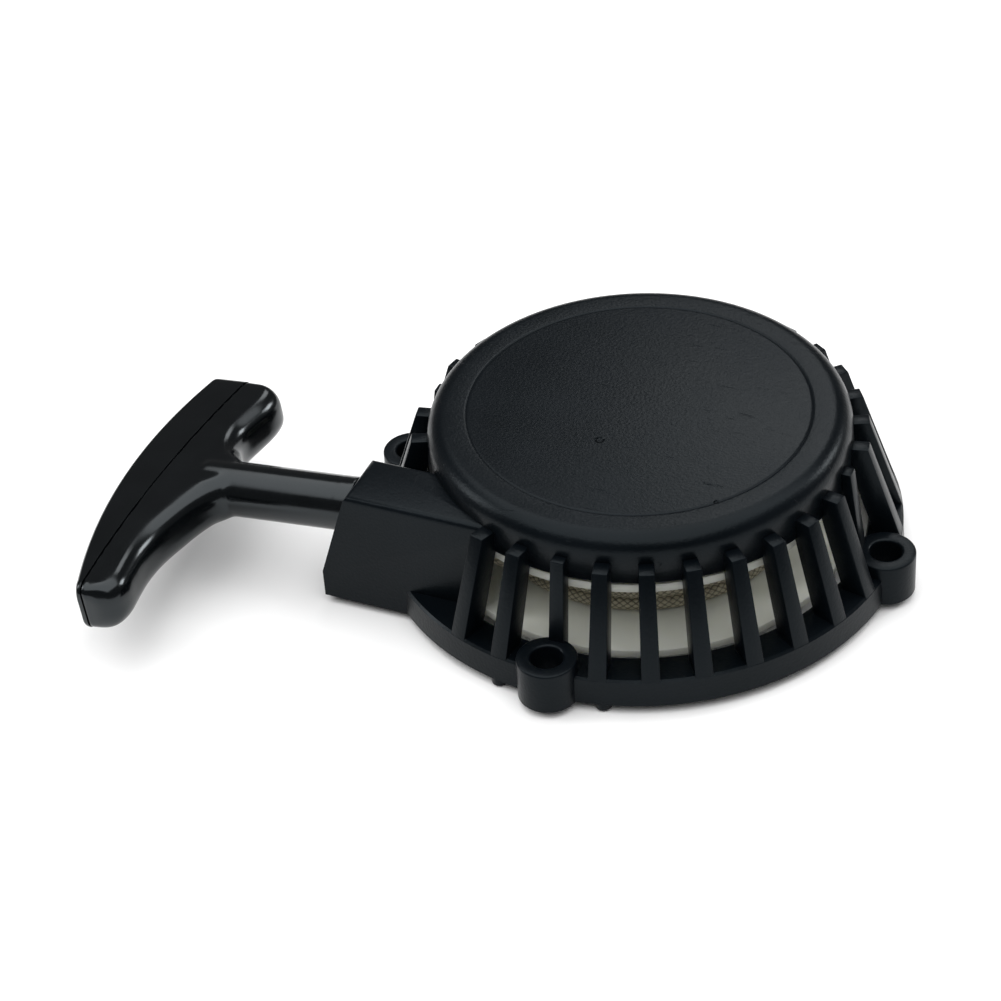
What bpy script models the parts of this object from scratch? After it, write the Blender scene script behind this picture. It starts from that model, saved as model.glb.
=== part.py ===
"""Recoil starter for a small two-stroke engine: moulded housing, reel, cord, handle and pawl drive.

Frame: metres, +Z up along the crankshaft, which is the reel's axis. The underside of the mounting
ring is z = 0, and the handle pulls out along -X with a slight downward droop.
"""
import math

import bmesh
import bpy
from mathutils import Matrix, Vector

GAP = 0.0003                       # air between pieces that touch

# Mounting ring and its lugs
HOLE_SQUARE = 0.080                # side of the square of mounting holes
RING_R = 0.0583
RING_WALL = 0.0036
RING_LEDGE_R = 0.0502              # inner edge of the ledge that runs inwards from the ring's top
RING_LEDGE_T = 0.0015
RING_H = 0.0069
LUG_R = 0.0066
LUG_H = 0.0099
LUG_HOLE_R = 0.0035
PEG_R = 0.0018                     # moulded locating pegs on both sides of the front lug
PEG_LENGTH = 0.0017
PEG_SPREAD = math.radians(12.2)

# Cap, skirt and centre post
CAP_R = 0.0466
CAP_TOP = 0.0355
CAP_WALL = 0.0025
RIM_ROUND = 0.0045
SKIRT_BOTTOM = 0.0242
LINE_R = 0.03785                   # fine turned line on the top face
LINE_WIDTH = 0.0007
LINE_DEPTH = 0.0004
POST_R = 0.0056
POST_BOTTOM = 0.0060
POST_HOLE_R = 0.0026

# Ribs between skirt and ring
RIB_COUNT = 32
RIB_TOP = 0.0295
RIB_TOP_R = 0.0503
RIB_FOOT_R = 0.0579
RIB_TOP_WIDTH = 0.0034
RIB_FOOT_WIDTH = 0.0042
RIB_DEPTH = 0.0059                 # from the outer edge to the inner edge at the foot
LUG_RIB_TOP_R = 0.0488
LUG_RIB_FOOT_R = 0.0515
LUG_RIB_DEPTH = 0.0026
RIBS_UNDER_SPOUT = (-5, -4, -3)

# Spout that the cord leaves through
SPOUT_FRONT = -0.0433
SPOUT_BACK = -0.0283
SPOUT_END = -0.0590
SPOUT_END_TOP = -0.0517
SPOUT_INNER_END = -0.0460
SPOUT_TOP = 0.02945
SPOUT_BOTTOM = 0.0002
SPOUT_ROOT = -0.0190
SPOUT_WALL = 0.0020
SPOUT_EDGE_ROUND = 0.0018
SOCKET_R = 0.00645
SOCKET_DEPTH = 0.0042

# Eyelet that guides the cord, behind the socket
GUIDE_BODY_R = 0.00265
GUIDE_FLANGE_R = 0.0050
GUIDE_FLANGE_T = 0.0009
GUIDE_INNER_END = -0.0100

# Line of pull
PULL_DROOP = math.radians(6.13)
PULL_Y = -0.0358
PULL_POINT = Vector((-0.05445, PULL_Y, 0.02145))      # where the line of pull meets the spout's end
PULL_AXIS = Vector((-math.cos(PULL_DROOP), 0, -math.sin(PULL_DROOP)))
HANDLE_ROLL = math.radians(-0.6)

# Cord
CORD_R = 0.00175
CORD_BORE_R = CORD_R + GAP
COIL_TURNS = 4
COIL_INNER_R = 0.0309
FEED_ROUTE = (
    (-0.0442, -0.0358, 0.02255),
    (-0.0400, -0.0358, 0.02200),
    (-0.0335, -0.0358, 0.01940),
    (-0.0260, -0.0358, 0.01620),
    (-0.0180, -0.0357, 0.01380),
    (-0.0095, -0.0356, 0.01220),
)

# Reel
REEL_BOTTOM = 0.0034
REEL_LOWER_R = 0.0465
REEL_LOWER_T = 0.0020
REEL_UPPER_R = 0.0449
REEL_UPPER_BOTTOM = 0.0202
REEL_TOP = 0.0224
REEL_CORE_R = 0.0306
REEL_RECESS_R = 0.0270
REEL_WEB_BOTTOM = 0.0145
REEL_WEB_TOP = 0.0172
REEL_POCKET = (0.0130, 0.0280)     # inner and outer radius of the pocket on top of the web
HUB_R = 0.0102
HUB_BORE_R = 0.0076
COLLAR_TOP = 0.0322
BUSH_R = 0.0073
KNOT_ANGLE = math.radians(200)
KNOT_HEIGHT = 0.0198
REEL_KNOT_R = 0.0025

# Recoil spring, its cover plate and screws
SPRING_BOTTOM = 0.0264
SPRING_TOP = 0.0324
SPRING_INNER_R = 0.0122
SPRING_OUTER_R = 0.0350
SPRING_TURNS = 6
SPRING_STRIP = 0.0006
COVER_BOTTOM = 0.0252
COVER_TOP = 0.0260
COVER_R = 0.0435
BOSS_R = 0.0030
BOSS_CIRCLE_R = 0.0402
BOSS_ANGLES = (30, 150, 270)
ANCHOR_ANGLE = math.radians(90)
ANCHOR_R = 0.0014

# Pawl drive under the reel
PAWL_COUNT = 2
PAWL_PIVOT_R = 0.0142
PAWL_PIN_R = 0.0015
PAWL_BOTTOM = 0.0094
PAWL_TOP = 0.0140
PAWL_REACH = math.radians(74)
PAWL_WIDTH = 0.0046
PAWL_SWING = math.radians(22)
PEG_ANGLE = math.radians(-22)
PEG_CIRCLE_R = 0.0136
DRIVE_PEG_R = 0.0010
PLATE_SWING = math.radians(25)
PLATE_BOTTOM = 0.0071
PLATE_TOP = 0.0089
PLATE_R = 0.0183
WASHER_BOTTOM = 0.0045
WASHER_TOP = 0.0057
WASHER_R = 0.0130

# Handle, in its own frame: x along the bar, y outwards along the line of pull, z across the bar
BAR_HALF = 0.0404
BAR_OFFSET = -0.0068               # the stem stands off the middle of the bar
BAR_THICK = 0.0116
BAR_ROUND = 0.0042                 # finger side
BAR_ROOT_ROUND = 0.0054            # where the bar runs into the stem
BAR_END_ROUND = 0.0026
BAR_PROFILE = (                    # along the bar, and how deep its finger side lies there
    (-0.0404, 0.0030), (-0.0400, 0.0048), (-0.0389, 0.0066), (-0.0370, 0.0077), (-0.0340, 0.0080),
    (-0.0295, 0.0073), (-0.0240, 0.0066), (-0.0180, 0.0067), (-0.0120, 0.0078), (-0.0060, 0.0095),
    (-0.0010, 0.0118), (0.0025, 0.0148), (0.0068, 0.0170), (0.0110, 0.0146), (0.0138, 0.0110),
    (0.0172, 0.0086), (0.0215, 0.0078), (0.0262, 0.0084), (0.0310, 0.0094), (0.0345, 0.0096),
    (0.0372, 0.0090), (0.0391, 0.0074), (0.0400, 0.0056), (0.0404, 0.0036),
)
JOINT_BOW = 0.0026                 # the joint between bar and cover bulges outwards this much
COVER_HEIGHT = 0.0120
COVER_CURVE_R = 0.1250
COVER_PEAK = 0.0118                # where along the bar the cover is highest
COVER_ROUND = 0.0014
STEM_R = 0.00615
STEM_END = -0.0437
JOINT_DISTANCE = 0.0410            # from the spout's end to the ends of the joint
KNOT_POCKET_R = 0.0048
KNOT_POCKET_DEPTH = 0.0090
KNOT_R = 0.0034

MERGE = 1e-7
CLEAN = 2e-6


def clear_scene():
    for obj in list(bpy.data.objects):
        bpy.data.objects.remove(obj, do_unlink=True)


def make_material(name, colour, roughness, metallic=0.0):
    material = bpy.data.materials.new(name)
    material.use_nodes = True
    shader = material.node_tree.nodes["Principled BSDF"]
    shader.inputs["Base Color"].default_value = (*colour, 1)
    shader.inputs["Roughness"].default_value = roughness
    shader.inputs["Metallic"].default_value = metallic
    material.diffuse_color = (*colour, 1)
    return material


def make_object(name, bm, material, parent=None):
    """Turns a bmesh into a named object with clean outward faces."""
    bmesh.ops.remove_doubles(bm, verts=bm.verts, dist=MERGE)
    bmesh.ops.recalc_face_normals(bm, faces=bm.faces)
    mesh = bpy.data.meshes.new(name)
    bm.to_mesh(mesh)
    bm.free()
    if material:
        mesh.materials.append(material)
    mesh.shade_smooth()
    mesh.set_sharp_from_angle(angle=math.radians(35))
    obj = bpy.data.objects.new(name, mesh)
    bpy.context.scene.collection.objects.link(obj)
    if parent:
        obj.parent = parent
    return obj


def turned(profile, steps, closed=True):
    """A solid of revolution about Z from (radius, height) points. An open profile ends on the axis."""
    bm = bmesh.new()
    verts = [bm.verts.new((r, 0, z)) for r, z in profile]
    edges = [bm.edges.new(pair) for pair in zip(verts, verts[1:])]
    if closed:
        edges.append(bm.edges.new((verts[-1], verts[0])))
    bmesh.ops.spin(bm, geom=verts + edges, cent=(0, 0, 0), axis=(0, 0, 1), angle=math.tau,
                   steps=steps, use_merge=True)
    bmesh.ops.remove_doubles(bm, verts=bm.verts, dist=MERGE)
    return bm


def prism(outline, bottom, top):
    """A closed outline in XY, extruded from bottom to top."""
    bm = bmesh.new()
    face = bm.faces.new([bm.verts.new((x, y, bottom)) for x, y in outline])
    extruded = bmesh.ops.extrude_face_region(bm, geom=[face])["geom"]
    moved = [item for item in extruded if isinstance(item, bmesh.types.BMVert)]
    bmesh.ops.translate(bm, vec=(0, 0, top - bottom), verts=moved)
    bmesh.ops.recalc_face_normals(bm, faces=bm.faces)
    return bm


def cylinder(radius, bottom, top, steps=24):
    bm = bmesh.new()
    bmesh.ops.create_cone(bm, cap_ends=True, segments=steps, radius1=radius, radius2=radius,
                          depth=top - bottom)
    bmesh.ops.translate(bm, vec=(0, 0, (top + bottom) / 2), verts=bm.verts)
    return bm


def placed(bm, matrix):
    bmesh.ops.transform(bm, matrix=matrix, verts=bm.verts)
    return bm


def joined(*parts):
    """Puts several bmeshes into one, as separate shells."""
    whole = bmesh.new()
    for part in parts:
        mesh = bpy.data.meshes.new("part")
        part.to_mesh(mesh)
        part.free()
        whole.from_mesh(mesh)
        bpy.data.meshes.remove(mesh)
    return whole


def combine(target, bm, operation):
    """Applies one Boolean of a bmesh to an object, and removes the tool."""
    tool = make_object("tool", bm, None)
    modifier = target.modifiers.new(operation, "BOOLEAN")
    modifier.operation = operation
    modifier.solver = "EXACT"
    modifier.object = tool
    graph = bpy.context.evaluated_depsgraph_get()
    mesh = bpy.data.meshes.new_from_object(target.evaluated_get(graph))
    target.modifiers.clear()
    tidy = bmesh.new()
    tidy.from_mesh(mesh)
    bmesh.ops.remove_doubles(tidy, verts=tidy.verts, dist=CLEAN)
    bmesh.ops.dissolve_degenerate(tidy, edges=tidy.edges, dist=CLEAN)
    tidy.to_mesh(mesh)
    tidy.free()
    old_meshes = [target.data, tool.data]
    target.data = mesh
    mesh.name = target.name
    bpy.data.objects.remove(tool)
    for old in old_meshes:
        bpy.data.meshes.remove(old)


def unite(target, bm):
    combine(target, bm, "UNION")


def cut(target, bm):
    combine(target, bm, "DIFFERENCE")


def polar(radius, angle):
    return radius * math.cos(angle), radius * math.sin(angle)


def arc(centre, radius, start, end, steps):
    """Points of an arc in a plane, angles in degrees."""
    points = []
    for i in range(steps + 1):
        angle = math.radians(start + (end - start) * i / steps)
        points.append((centre[0] + radius * math.cos(angle), centre[1] + radius * math.sin(angle)))
    return points


def smooth_route(points, per_span):
    """A Catmull-Rom curve through a route's points."""
    points = [Vector(p) for p in points]
    ends = [2 * points[0] - points[1]] + points + [2 * points[-1] - points[-2]]
    route = []
    for a, b, c, d in zip(ends, ends[1:], ends[2:], ends[3:]):
        for i in range(per_span):
            t = i / per_span
            route.append(0.5 * (2 * b + (c - a) * t + (2 * a - 5 * b + 4 * c - d) * t ** 2
                                + (3 * b - a - 3 * c + d) * t ** 3))
    return route + [points[-1]]


def make_cord(name, points, material, parent=None):
    """A round cord along points in world space, as a bevelled curve with filled ends."""
    curve = bpy.data.curves.new(name, "CURVE")
    curve.dimensions = "3D"
    curve.bevel_depth = CORD_R
    curve.bevel_resolution = 2
    curve.use_fill_caps = True
    curve.materials.append(material)
    spline = curve.splines.new("POLY")
    spline.points.add(len(points) - 1)
    for spline_point, point in zip(spline.points, points):
        spline_point.co = (*point, 1)
    obj = bpy.data.objects.new(name, curve)
    bpy.context.scene.collection.objects.link(obj)
    if parent:
        obj.parent = parent
        obj.matrix_parent_inverse = parent.matrix_basis.inverted()
    return obj


def pull_frame(distance):
    """Frame on the line of pull: local Z points out along the pull."""
    out = PULL_AXIS
    side = Vector((0, 1, 0))
    up = out.cross(side) * -1
    frame = Matrix((side, up, out)).transposed().to_4x4()
    frame.translation = PULL_POINT + out * distance
    return frame


def lug_angles():
    return [math.radians(-90 + 90 * i) for i in range(4)]


def cap_profile():
    rim = arc((CAP_R - RIM_ROUND, CAP_TOP - RIM_ROUND), RIM_ROUND, 90, 0, 6)
    inner_r = CAP_R - CAP_WALL
    ceiling = CAP_TOP - CAP_WALL
    half = LINE_WIDTH / 2
    return [
        (0, CAP_TOP),
        (LINE_R - half, CAP_TOP),
        (LINE_R, CAP_TOP - LINE_DEPTH),
        (LINE_R + half, CAP_TOP),
        *rim,
        (CAP_R + 0.0003, SKIRT_BOTTOM),
        (inner_r, SKIRT_BOTTOM),
        (inner_r, ceiling - 0.002),
        (inner_r - 0.002, ceiling),
        (POST_R + 0.001, ceiling),
        (POST_R, ceiling - 0.001),
        (POST_R, POST_BOTTOM),
        (POST_HOLE_R, POST_BOTTOM),
        (POST_HOLE_R, 0.0235),
        (0, 0.0245),
    ]


def rib(angle, top_r, foot_r, foot_z, depth, width_scale=1.0):
    """One upright rib: tapers in width, its outer edge leans out to the ring."""
    bottom = 0.0010
    bite = 0.0005                          # how far the rib runs into what it stands on
    root_r = CAP_R - 2 * bite
    edge = [(root_r, RIB_TOP), (top_r, RIB_TOP), (foot_r, foot_z - bite), (foot_r, bottom),
            (foot_r - depth, bottom), (foot_r - depth, RING_H),
            (root_r + bite, SKIRT_BOTTOM + 2 * bite), (root_r, SKIRT_BOTTOM + 2 * bite)]
    bm = bmesh.new()
    sides = []
    for sign in (1, -1):
        verts = []
        for r, z in edge:
            share = (RIB_TOP - z) / RIB_TOP
            width = (RIB_TOP_WIDTH + (RIB_FOOT_WIDTH - RIB_TOP_WIDTH) * share) * width_scale
            verts.append(bm.verts.new((r, sign * width / 2, z)))
        sides.append(verts)
    left, right = sides
    bm.faces.new(left)
    bm.faces.new(list(reversed(right)))
    for i in range(len(edge)):
        j = (i + 1) % len(edge)
        bm.faces.new((left[j], left[i], right[i], right[j]))
    return placed(bm, Matrix.Rotation(angle, 4, "Z"))


def xz_block(outline, y_low, y_high):
    """An outline in XZ, extruded along Y."""
    bm = prism(outline, y_low, y_high)
    return placed(bm, Matrix(((1, 0, 0, 0), (0, 0, 1, 0), (0, 1, 0, 0), (0, 0, 0, 1))))


def spout_block():
    outline = [(SPOUT_END, SPOUT_BOTTOM), (SPOUT_END, RING_H), (SPOUT_END_TOP, SPOUT_TOP),
               (SPOUT_ROOT, SPOUT_TOP), (SPOUT_ROOT, SPOUT_BOTTOM)]
    bm = xz_block(outline, SPOUT_FRONT, SPOUT_BACK)
    top_edges = [e for e in bm.edges
                 if all(abs(v.co.z - SPOUT_TOP) < 1e-6 for v in e.verts)
                 and (abs(e.verts[0].co.y - e.verts[1].co.y) < 1e-6
                      or all(abs(v.co.x - SPOUT_END_TOP) < 1e-6 for v in e.verts))]
    bmesh.ops.bevel(bm, geom=top_edges, offset=SPOUT_EDGE_ROUND, segments=3, profile=0.5,
                    affect="EDGES", material=-1)
    return bm


def make_housing(plastic):
    housing = make_object("housing", turned(cap_profile(), 64, closed=False), plastic)
    unite(housing, spout_block())
    # hollow under the spout, and the room inside the skirt for the reel
    hollow = [(SPOUT_END + 0.0035, -0.001), (SPOUT_END + 0.0035, 0.008), (SPOUT_INNER_END, 0.0135),
              (SPOUT_INNER_END, SPOUT_TOP - SPOUT_WALL), (-0.010, SPOUT_TOP - SPOUT_WALL),
              (-0.010, -0.001)]
    cut(housing, xz_block(hollow, SPOUT_FRONT + SPOUT_WALL, SPOUT_BACK - SPOUT_WALL))
    inner_r = CAP_R - CAP_WALL
    ceiling = CAP_TOP - CAP_WALL
    chamber = [(POST_R + 0.0006, -0.001), (inner_r + 0.0042, -0.001), (inner_r + 0.0042, SKIRT_BOTTOM - 0.0004),
               (inner_r, SKIRT_BOTTOM), (inner_r, ceiling - 0.002), (inner_r - 0.002, ceiling),
               (POST_R + 0.0006, ceiling)]
    cut(housing, turned(chamber, 64))
    # ring, ribs and lugs
    ring = turned([(RING_R - RING_WALL, 0), (RING_R, 0), (RING_R - 0.0003, RING_H),
                   (RING_LEDGE_R, RING_H), (RING_LEDGE_R, RING_H - RING_LEDGE_T),
                   (RING_R - RING_WALL, RING_H - RING_LEDGE_T)], 96)
    unite(housing, ring)
    lugs = []
    for angle in lug_angles():
        x, y = polar(HOLE_SQUARE / math.sqrt(2), angle)
        lugs.append(placed(cylinder(LUG_R, 0, LUG_H), Matrix.Translation((x, y, 0))))
    unite(housing, joined(*lugs))
    ribs = []
    for i in range(RIB_COUNT):
        turn = i if i <= RIB_COUNT // 2 else i - RIB_COUNT
        if turn in RIBS_UNDER_SPOUT:
            continue
        angle = math.radians(-90) + math.tau * i / RIB_COUNT
        if i % (RIB_COUNT // 4) == 0:
            ribs.append(rib(angle, LUG_RIB_TOP_R, LUG_RIB_FOOT_R, LUG_H, LUG_RIB_DEPTH, 0.88))
        else:
            ribs.append(rib(angle, RIB_TOP_R, RIB_FOOT_R, RING_H, RIB_DEPTH))
    unite(housing, joined(*ribs))
    # locating pegs beside the front lug
    pegs = []
    for side in (-1, 1):
        x, y = polar(RING_R - RING_WALL / 2, math.radians(-90) + side * PEG_SPREAD)
        tip = [(0, -PEG_LENGTH), (PEG_R - 0.0005, -PEG_LENGTH), (PEG_R, -PEG_LENGTH + 0.0005),
               (PEG_R, 0.0010), (0, 0.0010)]
        pegs.append(placed(turned(tip, 16, closed=False), Matrix.Translation((x, y, 0))))
    unite(housing, joined(*pegs))
    # bosses for the spring cover
    bosses = [placed(cylinder(BOSS_R, COVER_TOP + GAP, ceiling + 0.0008, 16),
                     Matrix.Translation((*polar(BOSS_CIRCLE_R, math.radians(a)), 0))) for a in BOSS_ANGLES]
    unite(housing, joined(*bosses))
    # holes: lugs, screw pilots, socket for the handle's stem and bore for the cord guide
    holes = []
    for angle in lug_angles():
        x, y = polar(HOLE_SQUARE / math.sqrt(2), angle)
        holes.append(placed(cylinder(LUG_HOLE_R, -0.001, LUG_H + 0.001), Matrix.Translation((x, y, 0))))
    for a in BOSS_ANGLES:
        x, y = polar(BOSS_CIRCLE_R, math.radians(a))
        holes.append(placed(cylinder(0.0014, COVER_TOP, 0.0320, 12), Matrix.Translation((x, y, 0))))
    cut(housing, joined(*holes))
    cut(housing, placed(cylinder(SOCKET_R, -SOCKET_DEPTH, 0.010, 32), pull_frame(0)))
    cut(housing, placed(cylinder(GUIDE_BODY_R + GAP, -0.014, 0.001, 20), pull_frame(0)))
    return housing



def make_cord_guide(metal):
    seat = -SOCKET_DEPTH + GAP
    face = seat + GUIDE_FLANGE_T
    bm = turned([(CORD_BORE_R, GUIDE_INNER_END), (GUIDE_BODY_R, GUIDE_INNER_END), (GUIDE_BODY_R, seat),
                 (GUIDE_FLANGE_R, seat), (GUIDE_FLANGE_R, face), (CORD_BORE_R + 0.0006, face),
                 (CORD_BORE_R, face - 0.0006)], 24)
    return make_object("cord_guide", placed(bm, pull_frame(0)), metal)


def make_post_bush(metal):
    bm = turned([(POST_R + GAP, POST_BOTTOM), (BUSH_R, POST_BOTTOM), (BUSH_R, COLLAR_TOP),
                 (POST_R + GAP, COLLAR_TOP)], 32)
    return make_object("post_bush", bm, metal)


def spiral_strip():
    """The coiled spring: a flat strip on a spiral, with its ends bent to the collar and the anchor."""
    per_turn = 28
    steps = SPRING_TURNS * per_turn
    centre_line = []
    for i in range(steps + 1):
        share = i / steps
        angle = ANCHOR_ANGLE + math.radians(14) - math.tau * SPRING_TURNS * (1 - share)
        radius = SPRING_INNER_R + (SPRING_OUTER_R - SPRING_INNER_R) * share
        centre_line.append(Vector(polar(radius, angle)))
    # inner end bends towards the collar, outer end towards the anchor pin
    first_angle = math.atan2(centre_line[0].y, centre_line[0].x)
    centre_line.insert(0, Vector(polar(SPRING_INNER_R - 0.0012, first_angle - math.radians(9))))
    last_angle = math.atan2(centre_line[-1].y, centre_line[-1].x)
    centre_line.append(Vector(polar(SPRING_OUTER_R + 0.0020, last_angle + math.radians(5))))
    bm = bmesh.new()
    rows = []
    for i, point in enumerate(centre_line):
        before = centre_line[max(i - 1, 0)]
        after = centre_line[min(i + 1, len(centre_line) - 1)]
        along = (after - before).normalized()
        across = Vector((-along.y, along.x)) * SPRING_STRIP / 2
        low, high = point - across, point + across
        rows.append([bm.verts.new((low.x, low.y, SPRING_BOTTOM)), bm.verts.new((high.x, high.y, SPRING_BOTTOM)),
                     bm.verts.new((high.x, high.y, SPRING_TOP)), bm.verts.new((low.x, low.y, SPRING_TOP))])
    for a, b in zip(rows, rows[1:]):
        for k in range(4):
            bm.faces.new((a[k], a[(k + 1) % 4], b[(k + 1) % 4], b[k]))
    bm.faces.new(rows[0])
    bm.faces.new(list(reversed(rows[-1])))
    return bm


def make_spring_parts(steel, plated):
    make_object("recoil_spring", spiral_strip(), steel)
    x, y = polar(SPRING_OUTER_R + 0.0050, ANCHOR_ANGLE + math.radians(17))
    pin = placed(cylinder(ANCHOR_R, COVER_TOP + GAP, CAP_TOP - CAP_WALL - GAP, 16), Matrix.Translation((x, y, 0)))
    make_object("spring_anchor_pin", pin, steel)
    cover = make_object("spring_cover", turned([(0.0125, COVER_BOTTOM), (COVER_R, COVER_BOTTOM),
                                                (COVER_R, COVER_TOP), (0.0125, COVER_TOP)], 48), plated)
    for number, a in enumerate(BOSS_ANGLES, start=1):
        x, y = polar(BOSS_CIRCLE_R, math.radians(a))
        spot = Matrix.Translation((x, y, 0))
        cut(cover, placed(cylinder(0.0016, COVER_BOTTOM - 0.001, COVER_TOP + 0.001, 12), spot))
        screw = turned([(0, 0.0233), (0.0020, 0.0233), (0.0027, 0.0239), (0.0027, COVER_BOTTOM - GAP),
                        (0.0011, COVER_BOTTOM - GAP), (0.0011, 0.0312), (0, 0.0316)], 16, closed=False)
        make_object(f"spring_cover_screw_{number}", placed(screw, spot), steel)


def make_centre_fixing(steel):
    washer = turned([(POST_HOLE_R, WASHER_BOTTOM), (WASHER_R, WASHER_BOTTOM), (WASHER_R, WASHER_TOP),
                     (POST_HOLE_R, WASHER_TOP)], 32)
    make_object("centre_washer", washer, steel)
    screw = make_object("centre_screw", turned(
        [(0, 0.0012), (0.0040, 0.0012), (0.0046, 0.0018), (0.0046, WASHER_BOTTOM - GAP),
         (0.0023, WASHER_BOTTOM - GAP), (0.0023, 0.0225), (0.0018, 0.0230), (0, 0.0230)], 24, closed=False), steel)
    for turn in (0, 90):
        slot = bmesh.new()
        bmesh.ops.create_cube(slot, size=1)
        bmesh.ops.scale(slot, vec=(0.0052, 0.0010, 0.0028), verts=slot.verts)
        bmesh.ops.translate(slot, vec=(0, 0, 0.0012), verts=slot.verts)
        cut(screw, placed(slot, Matrix.Rotation(math.radians(turn), 4, "Z")))
    # wavy friction spring between washer and friction plate
    bm = bmesh.new()
    steps = 48
    rows = []
    for i in range(steps):
        angle = math.tau * i / steps
        lift = 0.00012 * math.sin(3 * angle)
        rows.append([bm.verts.new((*polar(r, angle), z + lift))
                     for r, z in ((0.0107, 0.0062), (0.0126, 0.0062), (0.0126, 0.0066), (0.0107, 0.0066))])
    for i, row in enumerate(rows):
        after = rows[(i + 1) % steps]
        for k in range(4):
            bm.faces.new((row[k], row[(k + 1) % 4], after[(k + 1) % 4], after[k]))
    make_object("brake_spring", bm, steel)


def make_reel(nylon, parent):
    core_top = REEL_UPPER_BOTTOM
    inner_pocket, outer_pocket = REEL_POCKET
    profile = [
        (REEL_RECESS_R, REEL_BOTTOM), (REEL_LOWER_R - 0.0005, REEL_BOTTOM),
        (REEL_LOWER_R, REEL_BOTTOM + 0.0005), (REEL_LOWER_R, REEL_BOTTOM + REEL_LOWER_T),
        (REEL_CORE_R, REEL_BOTTOM + REEL_LOWER_T), (REEL_CORE_R, core_top),
        (REEL_UPPER_R, core_top), (REEL_UPPER_R, REEL_TOP), (outer_pocket, REEL_TOP),
        (outer_pocket, REEL_WEB_TOP), (inner_pocket, REEL_WEB_TOP), (inner_pocket, REEL_TOP),
        (HUB_R, REEL_TOP + 0.0012), (HUB_R, COLLAR_TOP), (HUB_BORE_R, COLLAR_TOP),
        (HUB_BORE_R, POST_BOTTOM), (HUB_R, POST_BOTTOM), (HUB_R, REEL_WEB_BOTTOM),
        (REEL_RECESS_R, REEL_WEB_BOTTOM),
    ]
    reel = make_object("reel", turned(profile, 72), nylon, parent)
    for k in range(PAWL_COUNT):
        x, y = polar(PAWL_PIVOT_R, math.tau * k / PAWL_COUNT)
        cut(reel, placed(cylinder(PAWL_PIN_R + GAP, REEL_WEB_BOTTOM - 0.001, REEL_WEB_TOP + 0.001, 16),
                         Matrix.Translation((x, y, 0))))
    cut(reel, placed(cylinder(CORD_BORE_R, -0.0025, 0.0025, 16), knot_frame()))


def knot_frame():
    """Frame of the hole in the reel's core that the cord's inner end passes: local Z points outwards."""
    out = Vector((*polar(1, KNOT_ANGLE), 0))
    frame = out.to_track_quat("Z", "Y").to_matrix().to_4x4()
    frame.translation = out * (REEL_POCKET[1] + REEL_CORE_R) / 2 + Vector((0, 0, KNOT_HEIGHT))
    return frame


def knot(radius):
    """An overhand knot, drawn tight: a lumpy ball."""
    bm = bmesh.new()
    bmesh.ops.create_icosphere(bm, subdivisions=2, radius=radius)
    for vert in bm.verts:
        angle = math.atan2(vert.co.y, vert.co.x)
        vert.co *= 0.93 + 0.07 * math.cos(3 * angle + vert.co.z / radius * 2)
    return bm


def make_reel_cord(cord, parent):
    width = COIL_TURNS * 2 * CORD_R
    bottom = REEL_BOTTOM + REEL_LOWER_T + GAP
    bm = turned([(COIL_INNER_R, bottom), (COIL_INNER_R + 2 * CORD_R, bottom),
                 (COIL_INNER_R + 2 * CORD_R, bottom + width), (COIL_INNER_R, bottom + width)], 64)
    make_object("cord_coil", bm, cord, parent)
    centre = Matrix.Translation((*polar(REEL_POCKET[1] - REEL_KNOT_R - GAP, KNOT_ANGLE), KNOT_HEIGHT + GAP))
    make_object("cord_knot_reel", placed(knot(REEL_KNOT_R), centre), cord, parent)


def make_pawl_pins(steel, parent):
    for k in range(PAWL_COUNT):
        x, y = polar(PAWL_PIVOT_R, math.tau * k / PAWL_COUNT)
        bm = cylinder(PAWL_PIN_R, PAWL_BOTTOM - 0.0001, REEL_WEB_TOP + 0.0005, 16)
        make_object(f"pawl_pin_{k + 1}", placed(bm, Matrix.Translation((x, y, 0))), steel, parent)


def pawl_outline():
    """Curved arm about the reel's axis with a round eye at its pivot and a chiselled tip."""
    pivot = Vector((PAWL_PIVOT_R, 0))
    mid_r = PAWL_PIVOT_R + 0.0001
    half = PAWL_WIDTH / 2
    steps = 8
    outer = [polar(mid_r + half, -PAWL_REACH * (0.14 + 0.86 * i / steps)) for i in range(steps + 1)]
    inner_reach = 0.86
    inner = [polar(mid_r - half, -PAWL_REACH * (0.16 + (inner_reach - 0.16) * i / steps))
             for i in range(steps + 1)]
    eye = arc(pivot, 0.0031, -62, 222, 12)
    return eye + inner + outer[::-1]


def make_pawls(steel):
    for k in range(PAWL_COUNT):
        turn = Matrix.Rotation(math.tau * k / PAWL_COUNT, 4, "Z")
        pivot = Vector((PAWL_PIVOT_R, 0, 0))
        body = placed(prism(pawl_outline(), PAWL_BOTTOM, PAWL_TOP), Matrix.Translation(-pivot))
        pawl = make_object(f"pawl_{k + 1}", body, steel)
        peg = cylinder(DRIVE_PEG_R, PLATE_BOTTOM + 0.0001, PAWL_BOTTOM + 0.0004, 12)
        offset = Vector((*polar(PEG_CIRCLE_R, PEG_ANGLE), 0)) - pivot
        unite(pawl, placed(peg, Matrix.Translation(offset)))
        cut(pawl, cylinder(PAWL_PIN_R + GAP, PAWL_BOTTOM - 0.001, PAWL_TOP + 0.001, 16))
        pawl.location = turn @ pivot
        pawl.rotation_euler.z = math.tau * k / PAWL_COUNT


def slot_points(steps=6):
    """Path of the pawl's peg as the friction plate sees it, from rest to full throw."""
    pivot = Vector((PAWL_PIVOT_R, 0))
    start = Vector(polar(PEG_CIRCLE_R, PEG_ANGLE)) - pivot
    points = []
    for i in range(-1, steps + 2):
        share = i / steps
        swung = Matrix.Rotation(PAWL_SWING * share, 2) @ start + pivot
        points.append(Matrix.Rotation(-PLATE_SWING * share, 2) @ swung)
    return points


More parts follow.
